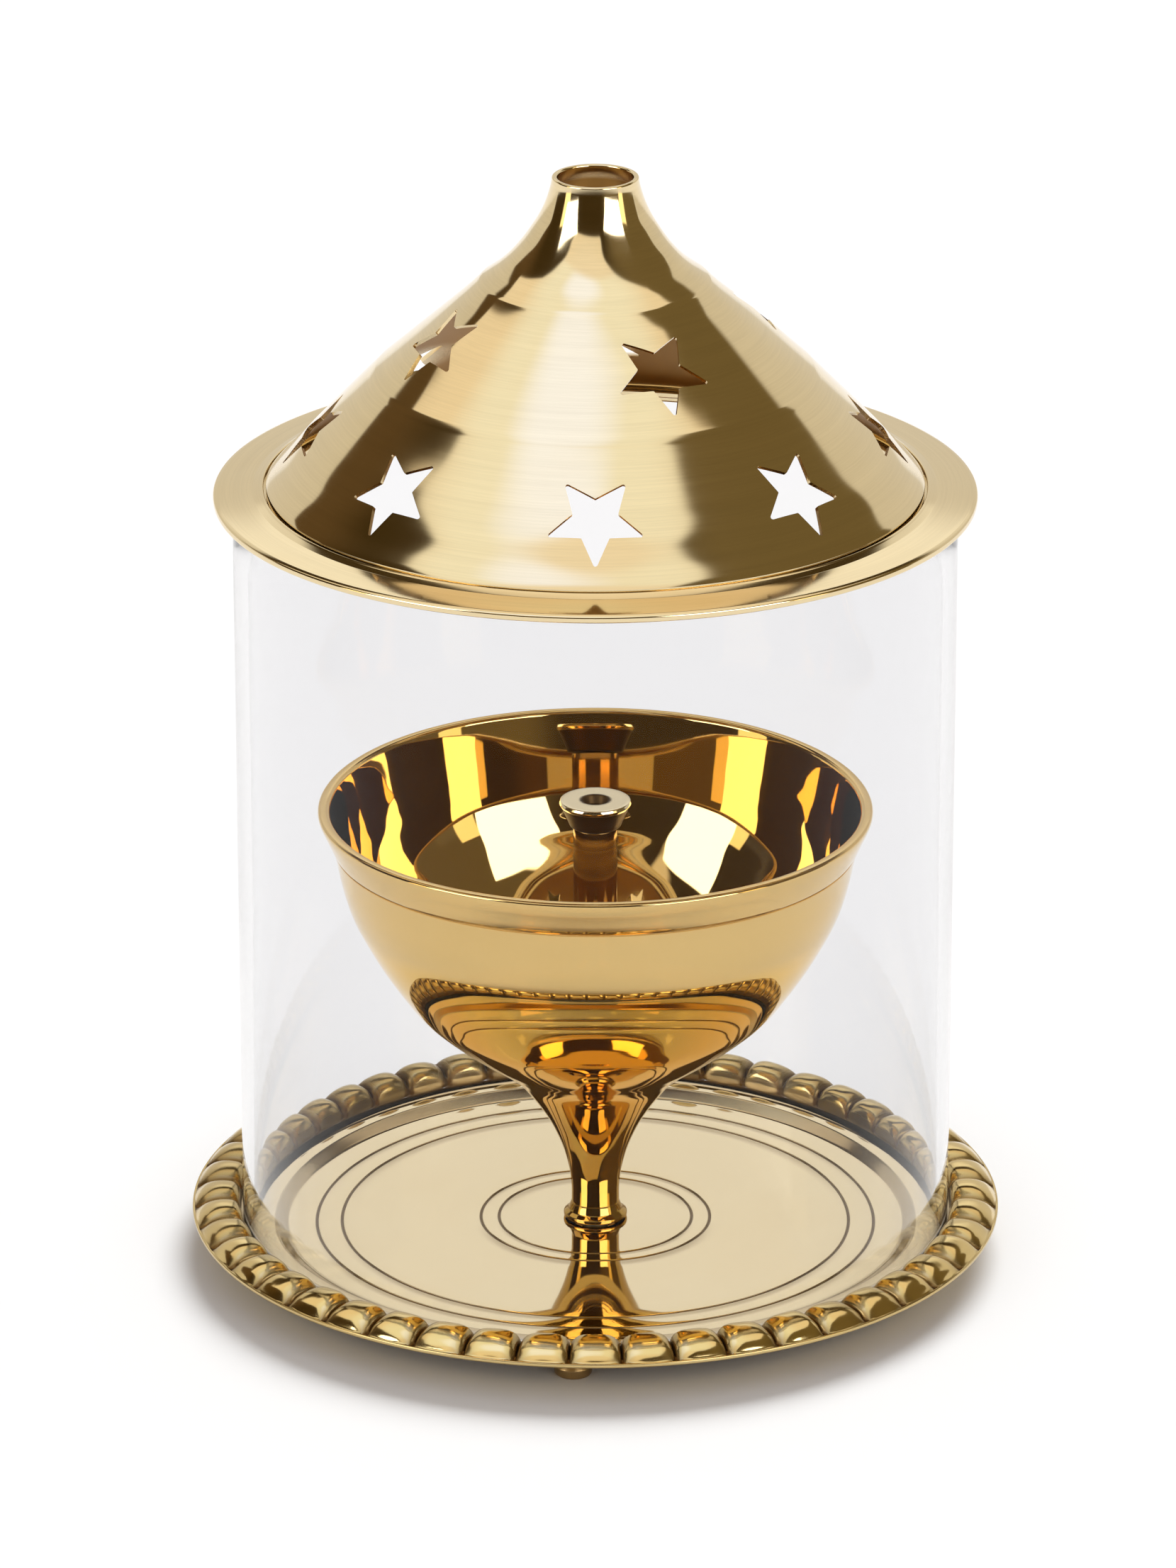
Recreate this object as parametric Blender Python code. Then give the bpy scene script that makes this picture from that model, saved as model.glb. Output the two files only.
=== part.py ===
"""Brass oil lamp with a gadrooned tray, a stemmed oil bowl, a clear glass chimney and a star-cut conical lid.

Units are metres, +Z is up and the lamp stands on its three feet at Z = 0. Every turned piece shares
the lamp's own axis, X = Y = 0, and the front of the lamp faces -Y.
"""
import math

import bmesh
import bpy

MM = 0.001

# Clearance left between pieces that touch.
GAP = 0.30 * MM

# Facets round the turned pieces.
LARGE_SIDES = 80
BOWL_SIDES = 60
SMALL_SIDES = 28

# Tray, on three feet.
TRAY_RADIUS = 65.0 * MM
TRAY_FLOOR_TOP = 4.4 * MM
TRAY_FLOOR_UNDER = 2.9 * MM
TRAY_FLOOR_RADIUS = 49.0 * MM
TRAY_HOLE_RADIUS = 2.5 * MM
LEDGE_TOP = 5.6 * MM
LEDGE_INNER_RADIUS = 51.2 * MM
RIM_WALL_RADIUS = 57.25 * MM
RIM_CREST = 9.2 * MM
RIM_OUTER_UNDER = 5.9 * MM
GADROON_COUNT = 48
GADROON_STEPS = 4

FOOT_RADIUS = 3.0 * MM
FOOT_NECK_RADIUS = 2.3 * MM
FOOT_CIRCLE_RADIUS = 53.5 * MM
FOOT_FRONT_ANGLE = -93.7

# Oil bowl and its stem, one casting.
BOWL_SEAT = TRAY_FLOOR_TOP + GAP
STEM_FOOT_RADIUS = 5.1 * MM
STEM_WAIST_RADIUS = 3.83 * MM
STEM_BORE_RADIUS = 2.3 * MM
STEM_BORE_TOP = 17.0 * MM
BOWL_RIM_RADIUS = 44.25 * MM
BOWL_RIM = 75.1 * MM
BOWL_INSIDE_BOTTOM = 29.4 * MM

# Screw and washer that hold the stem down on the tray.
WASHER_RADIUS = 4.6 * MM
WASHER_THICKNESS = 0.6 * MM
WASHER_HOLE_RADIUS = 2.4 * MM
SCREW_SHANK_RADIUS = 1.9 * MM
SCREW_HEAD_RADIUS = 3.7 * MM
SCREW_HEAD_HEIGHT = 1.3 * MM
SCREW_SLOT_WIDTH = 0.9 * MM
SCREW_SLOT_DEPTH = 0.7 * MM
SCREW_TIP = 15.4 * MM

# Wick holder: a round foot, a tube and a tapered nozzle.
WICK_FOOT_RADIUS = 9.0 * MM
WICK_FOOT_THICKNESS = 2.0 * MM
WICK_COLLAR_RADIUS = 5.0 * MM
WICK_COLLAR_HEIGHT = 4.5 * MM
WICK_TUBE_RADIUS = 3.5 * MM
WICK_TUBE_BORE = 2.7 * MM
WICK_TUBE_TOP = 71.2 * MM
OIL_PORT_RADIUS = 1.1 * MM
OIL_PORT_HEIGHT = 37.2 * MM
NOZZLE_TOP = 75.7 * MM
NOZZLE_RADIUS = 5.8 * MM
NOZZLE_WAIST_RADIUS = 4.15 * MM
NOZZLE_BORE = 1.5 * MM
NOZZLE_MOUTH = 2.2 * MM
NOZZLE_SPIGOT_RADIUS = 2.35 * MM
NOZZLE_SPIGOT_LENGTH = 5.0 * MM

# Glass chimney.
GLASS_RADIUS = 56.9 * MM
GLASS_WALL = 2.3 * MM
GLASS_BOTTOM = LEDGE_TOP + GAP
GLASS_TOP = 126.2 * MM
GLASS_EDGE = 0.55 * MM

# Lid: a flat brim ring and a star-cut cone seated in it.
BRIM_RADIUS = 59.9 * MM
BRIM_UNDER = GLASS_TOP + GAP
BRIM_EDGE_TOP = 127.5 * MM
BRIM_SHOULDER_TOP = 128.7 * MM
BRIM_SHOULDER_RADIUS = 52.0 * MM
BRIM_BORE_RADIUS = 49.6 * MM
BRIM_LIP_RADIUS = 54.2 * MM
BRIM_LIP_UNDER = 124.8 * MM
BRIM_SEAT = 127.5 * MM
CONE_FOOT_RADIUS = 51.6 * MM
CONE_THICKNESS = 0.9 * MM
NECK_TOP = 178.6 * MM

STAR_POINTS = 5
STAR_TIP_RADIUS = 8.1 * MM
STAR_VALLEY_RADIUS = 3.65 * MM
STAR_CUT_DEPTH = 5.0 * MM
LOWER_STAR_RADIUS = 43.8 * MM
LOWER_STAR_HEIGHT = 137.3 * MM
LOWER_STAR_SLOPE = 0.918
LOWER_STAR_COUNT = 8
LOWER_STAR_START = -90.0
UPPER_STAR_RADIUS = 26.3 * MM
UPPER_STAR_HEIGHT = 154.5 * MM
UPPER_STAR_SLOPE = 1.12
UPPER_STAR_COUNT = 4
UPPER_STAR_START = -67.5


def clear_scene():
    """Start from an empty scene."""
    for old in list(bpy.data.objects):
        bpy.data.objects.remove(old, do_unlink=True)
    for store in (bpy.data.meshes, bpy.data.materials):
        for block in list(store):
            store.remove(block)


def principled(name, colour, metallic, roughness, transmission=0.0):
    """Make a Principled material."""
    material = bpy.data.materials.new(name)
    material.use_nodes = True
    shader = material.node_tree.nodes["Principled BSDF"]
    shader.inputs["Base Color"].default_value = (*colour, 1.0)
    shader.inputs["Metallic"].default_value = metallic
    shader.inputs["Roughness"].default_value = roughness
    shader.inputs["Transmission Weight"].default_value = transmission
    return material


def node_from_bmesh(name, shape, material, origin=(0.0, 0.0, 0.0)):
    """Turn a bmesh drawn in world positions into one named object with the given origin."""
    bmesh.ops.recalc_face_normals(shape, faces=shape.faces)
    mesh = bpy.data.meshes.new(name)
    shape.to_mesh(mesh)
    shape.free()
    for vertex in mesh.vertices:
        vertex.co.x -= origin[0]
        vertex.co.y -= origin[1]
        vertex.co.z -= origin[2]
    mesh.materials.append(material)
    piece = bpy.data.objects.new(name, mesh)
    piece.location = origin
    bpy.context.collection.objects.link(piece)
    return piece


def ring_of(shape, radius, height, sides, centre):
    """Add one ring of vertices, or a single vertex where the radius is zero."""
    if radius == 0.0:
        return [shape.verts.new((centre[0], centre[1], height))]
    ring = []
    for step in range(sides):
        angle = 2.0 * math.pi * step / sides
        x = centre[0] + radius * math.cos(angle)
        y = centre[1] + radius * math.sin(angle)
        ring.append(shape.verts.new((x, y, height)))
    return ring


def bridge(shape, lower, upper):
    """Join two neighbouring rings with quads, or with triangles at a pole."""
    if len(lower) == 1 and len(upper) == 1:
        return
    count = max(len(lower), len(upper))
    for step in range(count):
        following = (step + 1) % count
        if len(lower) == 1:
            corners = (lower[0], upper[following], upper[step])
        elif len(upper) == 1:
            corners = (lower[step], lower[following], upper[0])
        else:
            corners = (lower[step], lower[following], upper[following], upper[step])
        shape.faces.new(corners)


def turned_shape(profile, sides, centre=(0.0, 0.0)):
    """Revolve a closed (radius, height) outline about a vertical axis."""
    shape = bmesh.new()
    rings = [ring_of(shape, radius, height, sides, centre) for radius, height in profile]
    for index, ring in enumerate(rings):
        bridge(shape, ring, rings[(index + 1) % len(rings)])
    return shape


def turned(name, profile, sides, material, origin_height, centre=(0.0, 0.0)):
    """Make one turned piece with its origin on its own axis."""
    shape = turned_shape(profile, sides, centre)
    return node_from_bmesh(name, shape, material, (centre[0], centre[1], origin_height))


def gap_depth(step):
    """How far a rim point sinks at this angular step: 0 on a lobe's crest, 1 in the valley between two."""
    phase = (step % GADROON_STEPS) / GADROON_STEPS
    away = 2.0 * abs(phase - round(phase))
    return 1.0 - math.sqrt(max(0.0, 1.0 - away * away))


def tray_outline():
    """Tray section as (radius, height, inward sink, downward sink), from the hole outward and back."""
    mm = MM
    return [
        (TRAY_HOLE_RADIUS, TRAY_FLOOR_TOP, 0.0, 0.0),
        (TRAY_FLOOR_RADIUS, TRAY_FLOOR_TOP, 0.0, 0.0),
        (LEDGE_INNER_RADIUS, LEDGE_TOP, 0.0, 0.0),
        (RIM_WALL_RADIUS, LEDGE_TOP, 0.0, 0.0),
        (RIM_WALL_RADIUS + 0.25 * mm, RIM_CREST - 1.2 * mm, 0.0, 0.9 * mm),
        (RIM_WALL_RADIUS + 1.2 * mm, RIM_CREST - 0.2 * mm, 0.0, 1.4 * mm),
        (RIM_WALL_RADIUS + 3.0 * mm, RIM_CREST, 0.0, 1.6 * mm),
        (TRAY_RADIUS - 2.5 * mm, RIM_CREST - 0.8 * mm, 0.4 * mm, 1.4 * mm),
        (TRAY_RADIUS - 0.9 * mm, RIM_CREST - 2.1 * mm, 0.7 * mm, 0.6 * mm),
        (TRAY_RADIUS - 0.15 * mm, RIM_OUTER_UNDER + 0.75 * mm, 0.35 * mm, 0.1 * mm),
        (TRAY_RADIUS, RIM_OUTER_UNDER + 0.4 * mm, 0.0, 0.0),
        (TRAY_RADIUS - 0.4 * mm, RIM_OUTER_UNDER, 0.0, 0.0),
        (TRAY_RADIUS - 4.5 * mm, RIM_OUTER_UNDER - 0.9 * mm, 0.0, 0.0),
        (RIM_WALL_RADIUS + 0.3 * mm, TRAY_FLOOR_UNDER, 0.0, 0.0),
        (TRAY_HOLE_RADIUS, TRAY_FLOOR_UNDER, 0.0, 0.0),
    ]


def make_tray(material):
    """Round tray with a flat floor, a raised ledge for the glass and a gadrooned rim."""
    shape = bmesh.new()
    sides = GADROON_COUNT * GADROON_STEPS
    rings = []
    for radius, height, inward, downward in tray_outline():
        ring = []
        for step in range(sides):
            depth = gap_depth(step)
            angle = 2.0 * math.pi * step / sides
            reach = radius - inward * depth
            ring.append(shape.verts.new((
                reach * math.cos(angle),
                reach * math.sin(angle),
                height - downward * depth,
            )))
        rings.append(ring)
    for index, ring in enumerate(rings):
        bridge(shape, ring, rings[(index + 1) % len(rings)])
    return node_from_bmesh("base_plate", shape, material, (0.0, 0.0, TRAY_FLOOR_TOP))


def make_feet(material):
    """Three small turned pegs brazed under the tray, one at the front."""
    top = TRAY_FLOOR_UNDER - GAP
    names = ("foot_front", "foot_right", "foot_left")
    for index, name in enumerate(names):
        angle = math.radians(FOOT_FRONT_ANGLE + 120.0 * index)
        centre = (FOOT_CIRCLE_RADIUS * math.cos(angle), FOOT_CIRCLE_RADIUS * math.sin(angle))
        profile = [
            (0.0, 0.0),
            (FOOT_RADIUS - 0.5 * MM, 0.0),
            (FOOT_RADIUS, 0.5 * MM),
            (FOOT_RADIUS, 1.5 * MM),
            (FOOT_NECK_RADIUS, top),
            (0.0, top),
        ]
        turned(name, profile, SMALL_SIDES, material, 0.0, centre)


def bowl_outside():
    """Outer outline of the stem and bowl, from the stem's foot up to the lip."""
    mm = MM
    return [
        (STEM_BORE_RADIUS, BOWL_SEAT),
        (STEM_FOOT_RADIUS, BOWL_SEAT),
        (STEM_FOOT_RADIUS, 5.3 * mm),
        (4.35 * mm, 5.9 * mm),
        (STEM_WAIST_RADIUS, 6.8 * mm),
        (STEM_WAIST_RADIUS, 9.4 * mm),
        (4.6 * mm, 14.4 * mm),
        (6.1 * mm, 18.7 * mm),
        (8.4 * mm, 23.0 * mm),
        (12.0 * mm, 28.0 * mm),
        (16.3 * mm, 31.5 * mm),
        (20.4 * mm, 34.4 * mm),
        (24.5 * mm, 37.5 * mm),
        (28.6 * mm, 41.4 * mm),
        (31.6 * mm, 45.3 * mm),
        (34.4 * mm, 49.5 * mm),
        (37.1 * mm, 54.4 * mm),
        (38.9 * mm, 58.0 * mm),
        (40.0 * mm, 61.3 * mm),
        (40.75 * mm, 64.4 * mm),
        (41.4 * mm, 67.6 * mm),
        (42.0 * mm, 69.4 * mm),
        (43.1 * mm, 71.9 * mm),
        (BOWL_RIM_RADIUS, BOWL_RIM - 0.4 * mm),
        (BOWL_RIM_RADIUS - 0.45 * mm, BOWL_RIM),
    ]


def bowl_inside():
    """Inner outline of the bowl, from the lip down to the axis, then the stem's blind bore."""
    mm = MM
    return [
        (BOWL_RIM_RADIUS - 1.5 * mm, BOWL_RIM),
        (BOWL_RIM_RADIUS - 2.05 * mm, BOWL_RIM - 0.5 * mm),
        (41.3 * mm, 70.5 * mm),
        (40.55 * mm, 67.2 * mm),
        (39.9 * mm, 64.2 * mm),
        (39.1 * mm, 61.0 * mm),
        (37.8 * mm, 57.6 * mm),
        (35.8 * mm, 54.0 * mm),
        (33.1 * mm, 49.6 * mm),
        (30.2 * mm, 45.6 * mm),
        (27.2 * mm, 42.0 * mm),
        (23.3 * mm, 38.5 * mm),
        (19.3 * mm, 35.7 * mm),
        (15.3 * mm, 32.8 * mm),
        (12.4 * mm, 30.6 * mm),
        (10.0 * mm, BOWL_INSIDE_BOTTOM),
        (0.0, BOWL_INSIDE_BOTTOM),
        (0.0, STEM_BORE_TOP),
        (STEM_BORE_RADIUS, STEM_BORE_TOP - 1.2 * mm),
    ]


def make_bowl(material):
    """Oil bowl and short flared stem in one casting, with a blind bore for the screw."""
    return turned("bowl", bowl_outside() + bowl_inside(), BOWL_SIDES, material, BOWL_SEAT)


def make_washer(material):
    """Flat washer between the screw head and the tray."""
    top = TRAY_FLOOR_UNDER - GAP
    under = top - WASHER_THICKNESS
    profile = [
        (WASHER_HOLE_RADIUS, under),
        (WASHER_RADIUS, under),
        (WASHER_RADIUS, top),
        (WASHER_HOLE_RADIUS, top),
    ]
    turned("bowl_washer", profile, SMALL_SIDES, material, top)


def make_screw(material):
    """Slotted low-head screw that runs up through the tray into the stem."""
    head_top = TRAY_FLOOR_UNDER - 2.0 * GAP - WASHER_THICKNESS
    head_under = head_top - SCREW_HEAD_HEIGHT
    profile = [
        (0.0, head_under),
        (SCREW_HEAD_RADIUS - 0.4 * MM, head_under),
        (SCREW_HEAD_RADIUS, head_under + 0.4 * MM),
        (SCREW_HEAD_RADIUS, head_top),
        (SCREW_SHANK_RADIUS, head_top),
        (SCREW_SHANK_RADIUS, SCREW_TIP - 0.6 * MM),
        (SCREW_SHANK_RADIUS - 0.6 * MM, SCREW_TIP),
        (0.0, SCREW_TIP),
    ]
    screw = turned("bowl_screw", profile, SMALL_SIDES, material, head_top)
    cut_slot(screw, head_under - head_top, material)


def cut_slot(screw, head_under, material):
    """Cut a straight driver slot across the underside of the screw head."""
    shape = bmesh.new()
    bmesh.ops.create_cube(shape, size=1.0)
    for vertex in shape.verts:
        vertex.co.x *= 4.0 * SCREW_HEAD_RADIUS
        vertex.co.y *= SCREW_SLOT_WIDTH
        vertex.co.z *= 2.0 * SCREW_SLOT_DEPTH
    slot = node_from_bmesh("screw_slot_cutter", shape, material)
    slot.location = (0.0, 0.0, screw.location.z + head_under)
    subtract(screw, slot)


def subtract(target, cutter):
    """Take one hidden cutter away from a piece with an exact Boolean."""
    cutter.hide_render = True
    cutter.display_type = "WIRE"
    modifier = target.modifiers.new("cut_" + cutter.name, "BOOLEAN")
    modifier.operation = "DIFFERENCE"
    modifier.solver = "EXACT"
    modifier.object = cutter


def make_wick_foot(material):
    """Round foot with a raised collar that holds the wick tube upright in the bowl."""
    seat = BOWL_INSIDE_BOTTOM + GAP
    bore = WICK_TUBE_RADIUS + GAP
    profile = [
        (0.0, seat),
        (WICK_FOOT_RADIUS - 0.4 * MM, seat),
        (WICK_FOOT_RADIUS, seat + 0.4 * MM),
        (WICK_FOOT_RADIUS, seat + WICK_FOOT_THICKNESS - 0.4 * MM),
        (WICK_FOOT_RADIUS - 0.4 * MM, seat + WICK_FOOT_THICKNESS),
        (WICK_COLLAR_RADIUS, seat + WICK_FOOT_THICKNESS),
        (WICK_COLLAR_RADIUS, seat + WICK_COLLAR_HEIGHT),
        (bore, seat + WICK_COLLAR_HEIGHT),
        (bore, seat + 1.2 * MM),
        (0.0, seat + 1.2 * MM),
    ]
    turned("wick_foot", profile, SMALL_SIDES, material, seat)


def make_wick_tube(material):
    """Straight brass tube with two crossed oil ports low in its wall."""
    bottom = BOWL_INSIDE_BOTTOM + 1.2 * MM + 2.0 * GAP
    profile = [
        (WICK_TUBE_BORE, bottom),
        (WICK_TUBE_RADIUS, bottom),
        (WICK_TUBE_RADIUS, WICK_TUBE_TOP),
        (WICK_TUBE_BORE, WICK_TUBE_TOP),
    ]
    tube = turned("wick_tube", profile, SMALL_SIDES, material, bottom)
    for index in range(2):
        shape = bmesh.new()
        bmesh.ops.create_cone(
            shape,
            cap_ends=True,
            segments=12,
            radius1=OIL_PORT_RADIUS,
            radius2=OIL_PORT_RADIUS,
            depth=4.0 * WICK_TUBE_RADIUS,
        )
        port = node_from_bmesh("oil_port_cutter_" + str(index + 1), shape, material)
        port.rotation_euler = (math.pi / 2.0, 0.0, index * math.pi / 2.0)
        port.location = (0.0, 0.0, OIL_PORT_HEIGHT + index * 3.4 * MM)
        subtract(tube, port)


def make_nozzle(material):
    """Tapered nozzle with a flat top, a centre hole and a spigot that drops into the tube."""
    under = WICK_TUBE_TOP + GAP
    profile = [
        (NOZZLE_BORE, under - NOZZLE_SPIGOT_LENGTH),
        (NOZZLE_SPIGOT_RADIUS, under - NOZZLE_SPIGOT_LENGTH),
        (NOZZLE_SPIGOT_RADIUS, under),
        (NOZZLE_WAIST_RADIUS, under),
        (NOZZLE_WAIST_RADIUS + 0.15 * MM, under + 0.5 * MM),
        (NOZZLE_RADIUS - 0.35 * MM, NOZZLE_TOP - 1.1 * MM),
        (NOZZLE_RADIUS, NOZZLE_TOP - 0.45 * MM),
        (NOZZLE_RADIUS - 0.25 * MM, NOZZLE_TOP),
        (NOZZLE_MOUTH, NOZZLE_TOP),
        (NOZZLE_BORE, NOZZLE_TOP - 1.0 * MM),
    ]
    turned("wick_nozzle", profile, SMALL_SIDES, material, under)


def make_chimney(material):
    """Plain glass cylinder with lightly rounded edges."""
    inner = GLASS_RADIUS - GLASS_WALL
    profile = [
        (inner + GLASS_EDGE, GLASS_BOTTOM),
        (GLASS_RADIUS - GLASS_EDGE, GLASS_BOTTOM),
        (GLASS_RADIUS, GLASS_BOTTOM + GLASS_EDGE),
        (GLASS_RADIUS, GLASS_TOP - GLASS_EDGE),
        (GLASS_RADIUS - GLASS_EDGE, GLASS_TOP),
        (inner + GLASS_EDGE, GLASS_TOP),
        (inner, GLASS_TOP - GLASS_EDGE),
        (inner, GLASS_BOTTOM + GLASS_EDGE),
    ]
    turned("glass_chimney", profile, LARGE_SIDES, material, GLASS_BOTTOM)


def make_brim(material):
    """Brim ring: flat underside on the glass, short locating lip inside it, rebate for the cone."""
    profile = [
        (BRIM_LIP_RADIUS - 1.6 * MM, BRIM_LIP_UNDER),
        (BRIM_LIP_RADIUS, BRIM_LIP_UNDER),
        (BRIM_LIP_RADIUS, BRIM_UNDER),
        (BRIM_RADIUS - 0.2 * MM, BRIM_UNDER),
        (BRIM_RADIUS, BRIM_UNDER + 0.2 * MM),
        (BRIM_RADIUS, BRIM_EDGE_TOP - 0.2 * MM),
        (BRIM_RADIUS - 0.3 * MM, BRIM_EDGE_TOP),
        (BRIM_SHOULDER_RADIUS, BRIM_SHOULDER_TOP),
        (BRIM_SHOULDER_RADIUS, BRIM_SEAT),
        (BRIM_BORE_RADIUS, BRIM_SEAT),
        (BRIM_BORE_RADIUS, BRIM_UNDER),
    ]
    turned("lid_brim", profile, LARGE_SIDES, material, BRIM_UNDER)


def cone_outside():
    """Outer outline of the lid cone: two bowed tiers, then a flared neck."""
    mm = MM
    return [
        (CONE_FOOT_RADIUS, BRIM_SEAT + GAP),
        (CONE_FOOT_RADIUS, 128.8 * mm),
        (48.5 * mm, 132.4 * mm),
        (44.25 * mm, 137.0 * mm),
        (39.9 * mm, 141.5 * mm),
        (34.6 * mm, 147.0 * mm),
        (30.6 * mm, 150.6 * mm),
        (26.3 * mm, 154.6 * mm),
        (21.9 * mm, 158.6 * mm),
        (17.9 * mm, 162.1 * mm),
        (13.3 * mm, 166.2 * mm),
        (10.0 * mm, 170.4 * mm),
        (7.8 * mm, 174.4 * mm),
        (6.8 * mm, 177.4 * mm),
        (6.75 * mm, NECK_TOP),
    ]


def inset_outline(outline, thickness):
    """Offset an open outline to its inner side by a sheet thickness, top point first."""
    inner = []
    for index, (radius, height) in enumerate(outline):
        before = outline[max(index - 1, 0)]
        after = outline[min(index + 1, len(outline) - 1)]
        run = after[0] - before[0]
        rise = after[1] - before[1]
        length = math.hypot(run, rise)
        inner.append((radius - thickness * rise / length, height + thickness * run / length))
    inner[0] = (outline[0][0] - thickness, outline[0][1])
    inner[1] = (outline[0][0] - thickness, inner[1][1])
    inner[-1] = (outline[-1][0] - thickness, outline[-1][1])
    inner.reverse()
    return inner


def star_prism(shape, radius, height, slope, angle):
    """Add one star-shaped prism square to the cone, with one point aimed down the slope."""
    down = math.hypot(slope, 1.0)
    fall = (slope / down, -1.0 / down)
    outward = (1.0 / down, slope / down)
    near = []
    far = []
    for corner in range(2 * STAR_POINTS):
        reach = STAR_TIP_RADIUS if corner % 2 == 0 else STAR_VALLEY_RADIUS
        turn = math.pi * corner / STAR_POINTS
        side = reach * math.sin(turn)
        along = reach * math.cos(turn)
        for ring, depth in ((near, -STAR_CUT_DEPTH), (far, STAR_CUT_DEPTH)):
            out = radius + along * fall[0] + depth * outward[0]
            up = height + along * fall[1] + depth * outward[1]
            x = out * math.cos(angle) - side * math.sin(angle)
            y = out * math.sin(angle) + side * math.cos(angle)
            ring.append(shape.verts.new((x, y, up)))
    bridge(shape, near, far)
    shape.faces.new(list(reversed(near)))
    shape.faces.new(far)


def make_cone(material):
    """Spun lid cone with a row of eight stars, a row of four above it and an open neck."""
    outline = cone_outside()
    profile = outline + inset_outline(outline, CONE_THICKNESS)
    cone = turned("lid_cone", profile, LARGE_SIDES, material, BRIM_SEAT + GAP)
    shape = bmesh.new()
    for index in range(LOWER_STAR_COUNT):
        angle = math.radians(LOWER_STAR_START + 360.0 * index / LOWER_STAR_COUNT)
        star_prism(shape, LOWER_STAR_RADIUS, LOWER_STAR_HEIGHT, LOWER_STAR_SLOPE, angle)
    for index in range(UPPER_STAR_COUNT):
        angle = math.radians(UPPER_STAR_START + 360.0 * index / UPPER_STAR_COUNT)
        star_prism(shape, UPPER_STAR_RADIUS, UPPER_STAR_HEIGHT, UPPER_STAR_SLOPE, angle)
    stars = node_from_bmesh("star_cutter", shape, material)
    subtract(cone, stars)


def build():
    """Make every piece of the lamp."""
    clear_scene()
    cast_brass = principled("cast_brass", (0.78, 0.57, 0.28), 1.0, 0.12)
    spun_brass = principled("spun_brass", (0.80, 0.62, 0.34), 1.0, 0.25)
    bowl_brass = principled("bowl_brass", (0.80, 0.58, 0.27), 1.0, 0.06)
    wick_brass = principled("wick_brass", (0.78, 0.57, 0.28), 1.0, 0.15)
    steel = principled("steel", (0.60, 0.60, 0.60), 1.0, 0.30)
    glass = principled("clear_glass", (0.96, 0.97, 0.97), 0.0, 0.01, 1.0)
    make_tray(cast_brass)
    make_feet(cast_brass)
    make_bowl(bowl_brass)
    make_washer(steel)
    make_screw(steel)
    make_wick_foot(wick_brass)
    make_wick_tube(wick_brass)
    make_nozzle(wick_brass)
    make_chimney(glass)
    make_brim(spun_brass)
    make_cone(spun_brass)


build()
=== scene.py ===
"""Looks for the brass oil lamp: turned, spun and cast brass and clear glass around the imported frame."""
import math
import random

import bmesh
import bpy
import numpy as np
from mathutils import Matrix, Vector


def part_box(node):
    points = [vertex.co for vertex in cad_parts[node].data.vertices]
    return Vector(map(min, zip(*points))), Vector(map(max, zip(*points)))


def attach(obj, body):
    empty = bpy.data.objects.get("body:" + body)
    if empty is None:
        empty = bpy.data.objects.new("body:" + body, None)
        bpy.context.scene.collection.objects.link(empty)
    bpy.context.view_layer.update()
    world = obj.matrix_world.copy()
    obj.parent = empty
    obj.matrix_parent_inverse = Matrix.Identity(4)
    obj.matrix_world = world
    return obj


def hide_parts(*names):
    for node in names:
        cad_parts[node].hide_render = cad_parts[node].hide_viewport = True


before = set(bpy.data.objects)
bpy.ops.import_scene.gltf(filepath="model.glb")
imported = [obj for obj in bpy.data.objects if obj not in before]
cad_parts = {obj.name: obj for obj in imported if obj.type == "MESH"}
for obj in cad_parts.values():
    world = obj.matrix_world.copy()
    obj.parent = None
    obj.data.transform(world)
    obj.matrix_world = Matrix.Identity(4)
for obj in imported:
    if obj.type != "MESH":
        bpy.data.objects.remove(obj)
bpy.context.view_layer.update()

MM = 0.001
TURN = 2.0 * math.pi
FRONT = -math.pi / 2.0

# Sizes shared by several pieces, in millimetres, with the floor at zero.
CASTING_UNDER = 2.9
FLOOR_TOP = 4.4
LEDGE_TOP = 5.6
GAP = 0.3

# ---------------------------------------------------------------- camera

CAMERA_DISTANCE = 1.2923
CAMERA_HEIGHT = 0.5686
CAMERA_PITCH = math.radians(20.787)
CAMERA_LENS = 200.0
CAMERA_SHIFT = -0.0047
SENSOR_WIDTH = 36.0


def make_camera():
    """A long lens well above the lid, looking down at the lamp."""
    data = bpy.data.cameras.new("camera")
    data.sensor_width = SENSOR_WIDTH
    data.lens = CAMERA_LENS
    data.shift_x = CAMERA_SHIFT
    data.clip_start = 0.05
    data.clip_end = 20.0
    camera = bpy.data.objects.new("camera", data)
    camera.location = (0.0, -CAMERA_DISTANCE, CAMERA_HEIGHT)
    camera.rotation_euler = (math.pi / 2.0 - CAMERA_PITCH, 0.0, 0.0)
    bpy.context.scene.collection.objects.link(camera)
    bpy.context.scene.camera = camera


make_camera()
bpy.context.scene.view_settings.view_transform = "Standard"

# ---------------------------------------------------------------- node helpers


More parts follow.
